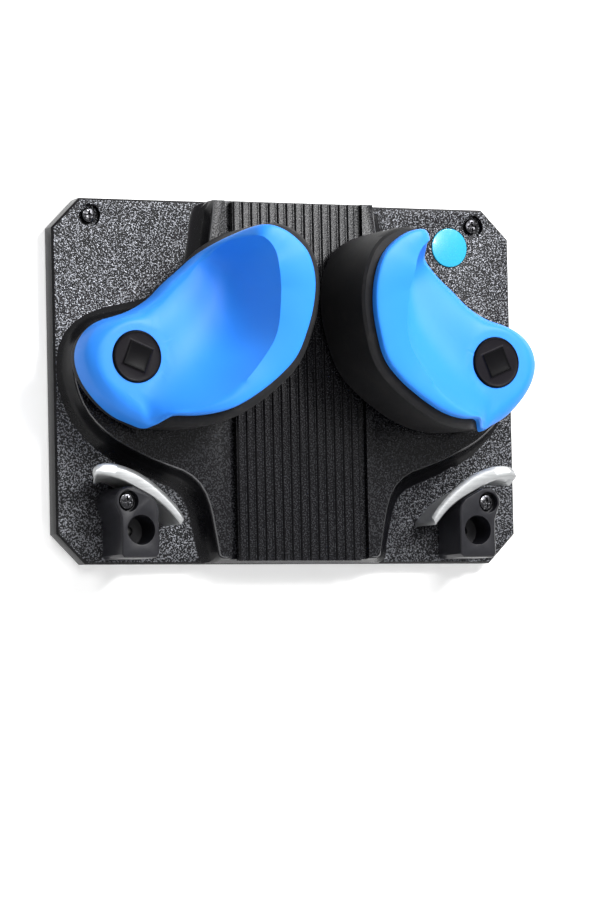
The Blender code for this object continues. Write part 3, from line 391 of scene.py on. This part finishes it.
def shade(piece, angle=35):
    """Shade a piece smooth over edges up to an angle in degrees."""
    only(piece)
    bpy.ops.object.shade_smooth_by_angle(angle=math.radians(angle))


def apply_modifier(piece, kind, **settings):
    """Add a modifier, set it and apply it."""
    only(piece)
    modifier = piece.modifiers.new(kind.lower(), kind)
    for name, value in settings.items():
        setattr(modifier, name, value)
    bpy.ops.object.modifier_apply(modifier=modifier.name)


# %% [markdown]
# Every visible part starts as a copy of its solid. The solids come as loose triangles, so the
# copy's points are merged first. The copy takes its solid's place and rides on its body.

# %% Take a solid
SAME_POINT = 1e-6


def take(node, name, finish):
    """Copy a solid as a merged mesh that replaces it, in one finish."""
    piece = bpy.data.objects.new(name, nodes[node].data.copy())
    bpy.context.scene.collection.objects.link(piece)
    piece.data.materials.clear()
    piece.data.materials.append(finish.material)
    edit(piece, action="SELECT")
    bpy.ops.mesh.remove_doubles(threshold=SAME_POINT)
    bpy.ops.mesh.customdata_custom_splitnormals_clear()
    leave()
    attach(piece, body_of_node[node])
    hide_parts(node)
    return piece


def faces_of(piece):
    """Return how many faces a piece has, for the notes that the cells print."""
    return len(piece.data.polygons)


# %% [markdown]
# Most parts have flat faces and sharp edges, which no real edge is. The triangles of each flat
# face are joined into one face, and then a bevel can round the edges between them evenly.

# %% Flatten and soften
FLAT = math.radians(0.6)


def flatten(piece):
    """Join the triangles of each flat face into one face."""
    edit(piece, "FACE", "SELECT")
    bpy.ops.mesh.dissolve_limited(angle_limit=FLAT)
    leave()


def soften(piece, width, segments=2, angle=32):
    """Round the edges of a piece that turn by more than an angle in degrees."""
    apply_modifier(piece, "BEVEL", width=width, segments=segments, limit_method="ANGLE",
                   angle_limit=math.radians(angle), use_clamp_overlap=True)
    shade(piece)


# %% [markdown]
# The plate is a flat moulding with a raised body like a butterfly: a spine down the middle and a
# lobe under each arm. Its edges on the real one are rounded by a few tenths of a millimetre and
# catch a thin line of light, which a small bevel gives.

# %% Back plate
plate = take("back_plate", "plate", moulding)
flatten(plate)
soften(plate, width=0.0005, segments=3)
print("plate faces:", faces_of(plate))

# %% [markdown]
# The pad in the spine has upright ribs, which stop what leans on it from slipping sideways. It is
# the same plastic as the plate, and a smaller bevel rounds its ribs at their crests.

# %% Ribbed pad
pad = take("ribbed_pad", "pad", moulding)
flatten(pad)
soften(pad, width=0.0003, segments=3)
print("pad faces:", faces_of(pad))

# %% [markdown]
# Each arm is a deep dished moulding whose rim swells out over the rubber. The solid has its
# points in rings along the rim, so once its triangles are paired into quads, a subdivision
# surface makes it round. The edges that are sharp on the real arm, such as the lip over the
# rubber and the bore, are creased first, so that they stay where they are.

# %% Round an arm off
QUAD_LIMIT = math.radians(40)


def quads(piece):
    """Join triangle pairs into quads."""
    edit(piece, "FACE", "SELECT")
    bpy.ops.mesh.tris_convert_to_quads(face_threshold=QUAD_LIMIT, shape_threshold=QUAD_LIMIT)
    leave()


def round_off(piece, sharp, levels):
    """Crease the edges sharper than an angle in degrees and subdivide the rest smooth."""
    quads(piece)
    edit(piece)
    bpy.ops.mesh.edges_select_sharp(sharpness=math.radians(sharp))
    bpy.ops.transform.edge_crease(value=1.0)
    leave()
    apply_modifier(piece, "SUBSURF", levels=levels, render_levels=levels)
    shade(piece, angle=40)


# %% [markdown]
# The real dish is polished to one flowing hollow, but the solid's rings meet in a faint ridge
# down its middle, and no amount of subdivision takes a ridge away. So the points of the dish get
# a weight first, which the subdivision then spreads softly over the points that it adds.

# %% Mark the dish
CAP_EDGE = 0.0148  # radius round the pivot inside which the surface stays as it is
EDGE_ROWS = 4  # rows of faces that stay as they are inside the dish's edge
BESIDE_CAP = 2.1  # how far the strip beside the cap reaches, in times that radius
INNER_SIDE = 0.8  # how squarely a point of the strip lies towards the middle, at least
FRONT_FACE = -0.1  # Y of a face's normal from which it counts as a part of the front
FRONT_POINT = -0.3  # and of a point's normal


def mark_dish(piece, pivot, inwards):
    """Weight the dish's points, from some rows inside its edge and beside the cap."""
    edit(piece, "FACE")
    leave()
    for face in piece.data.polygons:
        face.select = face.normal.y < FRONT_FACE
    bpy.ops.object.mode_set(mode="EDIT")
    bpy.ops.mesh.select_mode(type="VERT")
    for row in range(EDGE_ROWS):
        bpy.ops.mesh.select_less()
    leave()
    picked = []
    for vertex in piece.data.vertices:
        along = (vertex.co.x - pivot.x) * inwards
        away = math.hypot(along, vertex.co.z - pivot.z)
        near_cap = CAP_EDGE < away < BESIDE_CAP * CAP_EDGE
        beside = near_cap and along > INNER_SIDE * away and vertex.normal.y < FRONT_POINT
        if vertex.select or beside:
            picked.append(vertex.index)
    piece.vertex_groups.new(name="dish").add(picked, 1.0, "REPLACE")
    return len(picked)


# %% [markdown]
# After the subdivision a small curved patch, with six terms, is fitted round each weighted point
# by least squares, and the point moves on to it by its weight. A point counts less the farther
# away it is, and more the larger the faces round it are. Every fourth point is enough to fit to.

# %% Ease the dish
CAP_FADE = 0.003  # the easing sets in over this way out from the cap's edge
INNER_START = 0.002  # it starts this far from the pivot towards the middle
INNER_FADE = 0.010  # and sets in over this way
LEAST_SHARE = 0.001  # a point with less than this weight stays where it is
FIT_EVERY = 4
BATCHES = 40  # the points are taken in so many lots, to need less memory


def ease_dish(piece, pivot, inwards, reach):
    """Move the weighted points on to curved patches fitted over a reach round each of them."""
    mesh = piece.data
    place = np.empty(len(mesh.vertices) * 3)
    mesh.vertices.foreach_get("co", place)
    place = place.reshape(-1, 3)
    share = np.array([sum(group.weight for group in vertex.groups) for vertex in mesh.vertices])
    along = (place[:, 0] - pivot.x) * inwards
    away = np.hypot(along, place[:, 2] - pivot.z)
    outside = np.clip((away - CAP_EDGE) / CAP_FADE, 0, 1)
    share *= outside * np.clip((along - INNER_START) / INNER_FADE, 0, 1)
    size = np.zeros(len(place))
    for face in mesh.polygons:
        size[list(face.vertices)] += face.area
    moved = np.flatnonzero(share > LEAST_SHARE)
    known = moved[::FIT_EVERY]
    solid = place[known]
    for batch in np.array_split(moved, BATCHES):
        offset = (solid[None, :, ::2] - place[batch][:, None, ::2]) / reach
        pull = size[known] * np.exp(-0.5 * (offset ** 2).sum(2))
        x, z = offset[..., 0], offset[..., 1]
        terms = np.stack([np.ones_like(x), x, z, x * x, x * z, z * z], 2)
        pulled = (terms * pull[..., None]).transpose(0, 2, 1)
        fitted = np.linalg.solve(pulled @ terms, pulled @ solid[:, 1][None, :, None])[:, 0, 0]
        place[batch, 1] += (fitted - place[batch, 1]) * share[batch]
    mesh.vertices.foreach_set("co", place.ravel())
    mesh.update()
    piece.vertex_groups.clear()
    return len(moved)


# %% [markdown]
# Both arms are made alike, each eased on the side that points to the middle. Slivers under a
# third of a millimetre are merged first, because a subdivision pinches round them. The rubber
# band is rounded off as the arm is, and one level of subdivision is enough for it.

# %% Arms and their rubber bands
SLIVER = 0.0003
REACH = 0.0068

for side, inwards in (("left", 1), ("right", -1)):
    arm = take(f"{side}_arm_shell", f"{side}_shell", blue)
    edit(arm, action="SELECT")
    bpy.ops.mesh.remove_doubles(threshold=SLIVER)
    leave()
    cap_low, cap_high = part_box(f"{side}_pivot_cap")
    pivot = (cap_low + cap_high) / 2
    marked = mark_dish(arm, pivot, inwards)
    round_off(arm, sharp=50, levels=2)
    eased = ease_dish(arm, pivot, inwards, REACH)
    band = take(f"{side}_arm_grip", f"{side}_rubber_band", rubber)
    round_off(band, sharp=80, levels=1)
    print(side, "arm faces:", faces_of(arm), "points marked:", marked, "eased:", eased,
          "band faces:", faces_of(band))

# %% [markdown]
# A cap covers each pivot's bolt. It carries a raised plain square that stands turned on the disc.
# On the real one both have a fine lip, which is too small for the solid. An inset leaves the lip,
# and what lies inside it moves back by less than half a millimetre.

# %% Pivot caps
SQUARE_PROUD = 0.0006  # how far the square stands out from the disc
SAME_DEPTH = 1e-5
FLAT_FRONT = -0.99  # Y of the normal of a face that looks straight to the front


def sink_face(piece, depth, lip, drop):
    """Leave a lip round the front faces at one depth, and push what it encloses back."""
    edit(piece, "FACE")
    leave()
    for face in piece.data.polygons:
        at_depth = abs(face.center.y + depth) < SAME_DEPTH
        face.select = at_depth and face.normal.y < FLAT_FRONT
    bpy.ops.object.mode_set(mode="EDIT")
    bpy.ops.mesh.inset(thickness=lip)
    bpy.ops.transform.translate(value=(0, drop, 0))
    leave()


for side in ("left", "right"):
    cap = take(f"{side}_pivot_cap", f"{side}_cap", charcoal)
    flatten(cap)
    front = max(-vertex.co.y for vertex in cap.data.vertices)
    sink_face(cap, front - SQUARE_PROUD, lip=0.0007, drop=0.00045)
    sink_face(cap, front, lip=0.0013, drop=0.0004)
    soften(cap, width=0.00045, segments=3)
    print(side, "cap faces:", faces_of(cap))

# %% [markdown]
# Under each arm a black pillar carries a curved hook of satin aluminium. The hook is a bent strip
# whose corners are broken by hand. It is curved all over, so its faces are left as they are, and
# only its sharp edges get a bevel.

# %% Pillars and hooks
for side in ("left", "right"):
    pillar = take(f"{side}_hook_bracket", f"{side}_pillar", satin)
    flatten(pillar)
    soften(pillar, width=0.0006, segments=3)
    hook = take(f"{side}_hook_saddle", f"{side}_hook", silver)
    soften(hook, width=0.0003)
    print(side, "pillar faces:", faces_of(pillar), "hook faces:", faces_of(hook))

# %% [markdown]
# The screws, the turned parts and the round badge keep their solids' shape, with broken edges
# where they can be seen. They all go through the same steps, so a list of them comes first.

# %% List the small parts
SCREW_EDGE = 0.00012
SMALL_SCREW_EDGE = 0.0001
TURNED_EDGE = 0.00015
TURNED = (("pivot_bolt", zinc, "steel"), ("retaining_washer", zinc, "steel"),
          ("pivot_nut", zinc, "steel"), ("stop_pin", zinc, "steel"),
          ("thrust_washer", nylon, "nylon"), ("pivot_bush", nylon, "nylon"))

small_parts = []
for side in ("left", "right"):
    for level in ("upper", "lower"):
        small_parts.append((f"{level}_{side}_wall_screw", f"{level}_{side}_screw",
                            steel, "screw", SCREW_EDGE))
    small_parts.append((f"{side}_saddle_screw", f"{side}_hook_screw",
                        steel, "screw", SMALL_SCREW_EDGE))
    for part_name, finish, slot in TURNED:
        small_parts.append((f"{side}_{part_name}", f"{side}_{part_name}_turned",
                            finish, slot, TURNED_EDGE))
small_parts.append(("badge_blank", "badge", cyan, "badge", SCREW_EDGE))
print("small parts:", len(small_parts))

# %% [markdown]
# Only edges that turn by more than 40 degrees are rounded here, so the facets of a round part
# aren't taken for edges.

# %% Screws, turned parts and badge
for node, name, finish, slot, width in small_parts:
    piece = take(node, name, finish)
    flatten(piece)
    soften(piece, width, angle=40)
    print(name, "faces:", faces_of(piece))

# %% [markdown]
# The rack hangs on a white wall. A wall and a floor of the same pale paint stand for the room, and
# neither belongs to the object. Both glow, but only for rays that come from the camera, off gloss
# or through glass, so the paint looks white there and the glow adds no light to the rack.

# %% Pale paint
PAINT_GLOW = 0.45


def shown(network):
    """Return 1 for a ray from the camera, off gloss or through glass, and 0 for any other."""
    camera_ray, gloss_ray, glass_ray = [
        network.add("ShaderNodeLightPath", {}, {}, f"Is {kind} Ray")
        for kind in ("Camera", "Glossy", "Transmission")]
    return camera_ray.either(gloss_ray).either(glass_ray)


paint = Finish("pale_paint", colour=(0.80, 0.80, 0.80), roughness=0.9)
paint.set("Emission Color", paint.blend(shown(paint), (0, 0, 0, 1), (1, 1, 1, 1)))
paint.set("Emission Strength", PAINT_GLOW)
print(paint)

# %% [markdown]
# The wall lies just behind the plate, so from behind it would hide the rack. Its back lets every
# ray through. So does the part of its front that the plate covers, for all but the camera's rays:
# that lets light in to the plate's back, so that the back of the rack can be looked at too.

# %% Let light in behind the plate
COVERED_ASIDE = 0.115  # how far the plate covers the wall to each side of the middle
COVERED_UP = 0.080  # and how far up and down
SOFT_EDGE = 0.0001  # in square metres, because the squares of the lengths are compared

through = paint.add("ShaderNodeBsdfTransparent", {}, {})
behind = paint.add("ShaderNodeNewGeometry", {}, {}, "Backfacing")
spot = paint.add("ShaderNodeNewGeometry", {}, {}, "Position")
past_side = (paint.add("ShaderNodeSeparateXYZ", {}, {0: spot}, "X") ** 2).above(
    COVERED_ASIDE ** 2, SOFT_EDGE)
past_top = (paint.add("ShaderNodeSeparateXYZ", {}, {0: spot}, "Z") ** 2).above(
    COVERED_UP ** 2, SOFT_EDGE)
covered = (1 - past_side) * (1 - past_top)
unseen = 1 - paint.add("ShaderNodeLightPath", {}, {}, "Is Camera Ray")
painted = Wire(paint, paint.shader.outputs[0])
coat = paint.add("ShaderNodeMixShader", {}, {0: behind + covered * unseen, 1: painted, 2: through})
paint.link(coat, paint.tree.nodes["Material Output"].inputs["Surface"])
print(paint)

# %% [markdown]
# Wall and floor are two large planes. The floor lies far enough below the rack to stay out of the
# photograph's view.

# %% Wall and floor
STAGE_SIZE = 6.0
WALL_BEHIND = 0.0008
FLOOR_LEVEL = -0.75


def stage_plane(name, place, turn):
    """Add one large painted plane as a part of the stage."""
    bpy.ops.object.select_all(action="DESELECT")
    bpy.ops.mesh.primitive_plane_add(size=STAGE_SIZE, location=place, rotation=turn)
    plane = bpy.context.active_object
    plane.name = name
    plane.data.materials.append(paint.material)
    print("stage:", plane.name)


stage_plane("wall", (0, WALL_BEHIND, 0), (math.radians(90), 0, 0))
stage_plane("floor", (0, 0, FLOOR_LEVEL), (0, 0, 0))

# %% [markdown]
# The photograph's light is a window above and to the right, which casts the rim's shadow into
# each dish. A weak small lamp, the glass door, stands where the plate mirrors it to the camera, so
# that the grain glints on the upper left. A large soft lamp on the left keeps the shadows open,
# and one behind the wall lights the rack's back.

# %% Lamps


def lamp(name, place, size, power):
    """Add a square area lamp that faces the rack, with its side in metres and power in watts."""
    bpy.ops.object.light_add(type="AREA", location=place)
    light = bpy.context.active_object
    light.name = name
    light.data.size = size
    light.data.energy = power
    light.rotation_euler = (-Vector(place)).to_track_quat("-Z", "Y").to_euler()
    print("lamp:", light.name, power, "W")


lamp("window", place=(0.85, -1.25, 1.0), size=0.42, power=29)
lamp("glass_door", place=(0.16, -0.545, 0.224), size=0.14, power=2.4)
lamp("room", place=(-0.4, -2.1, 1.0), size=1.0, power=20)
lamp("rear", place=(-0.9, 1.5, 1.1), size=0.6, power=40)

# %% [markdown]
# The world is white where the camera sees it, and in gloss and glass. For all other rays it is
# dim, as in a room whose light comes from its windows, so that it only lifts the shadows.

# %% World
ROOM_LIGHT = 0.12

world = bpy.data.worlds.new("room")
bpy.context.scene.world = world
world.use_nodes = True
sky = ShaderNodes(world.node_tree)
background = sky.tree.nodes["Background"]
sky.link((1, 1, 1, 1), background.inputs["Color"])
sky.link(shown(sky) * (1 - ROOM_LIGHT) + ROOM_LIGHT, background.inputs["Strength"])
print("world nodes:", len(sky.tree.nodes))

# %% [markdown]
# The camera stands to the left of the rack and a little below it, far away, with a long lens.
# Its place was found from the plate's corners, its depth from the sides that show. Three
# directions at right angles make its turn: across the picture, up in it, and back to the camera.

# %% Camera
YAW = math.radians(25)
RISE = math.radians(-3.51)
ROLL = math.radians(-1.17)
DISTANCE = 2.47
AIM = Vector((0.008, 0, -0.033))
LENS = 195.1
SENSOR_HEIGHT = 36
CLIP_END = 20

back = Vector((-math.sin(YAW) * math.cos(RISE), -math.cos(YAW) * math.cos(RISE), math.sin(RISE)))
level = (-back).cross(Vector((0, 0, 1))).normalized()
upright = level.cross(-back)
across = level * math.cos(ROLL) + upright * math.sin(ROLL)
above = upright * math.cos(ROLL) - level * math.sin(ROLL)
turn = Matrix((across, above, back)).transposed().to_4x4()
bpy.ops.object.camera_add()
camera = bpy.context.active_object
camera.matrix_world = Matrix.Translation(AIM + back * DISTANCE) @ turn
camera.data.sensor_fit = "VERTICAL"
camera.data.sensor_height = SENSOR_HEIGHT
camera.data.lens = LENS
camera.data.clip_end = CLIP_END
bpy.context.scene.camera = camera
bpy.context.scene.view_settings.view_transform = "Standard"
print("camera at", [round(value, 3) for value in camera.matrix_world.translation])
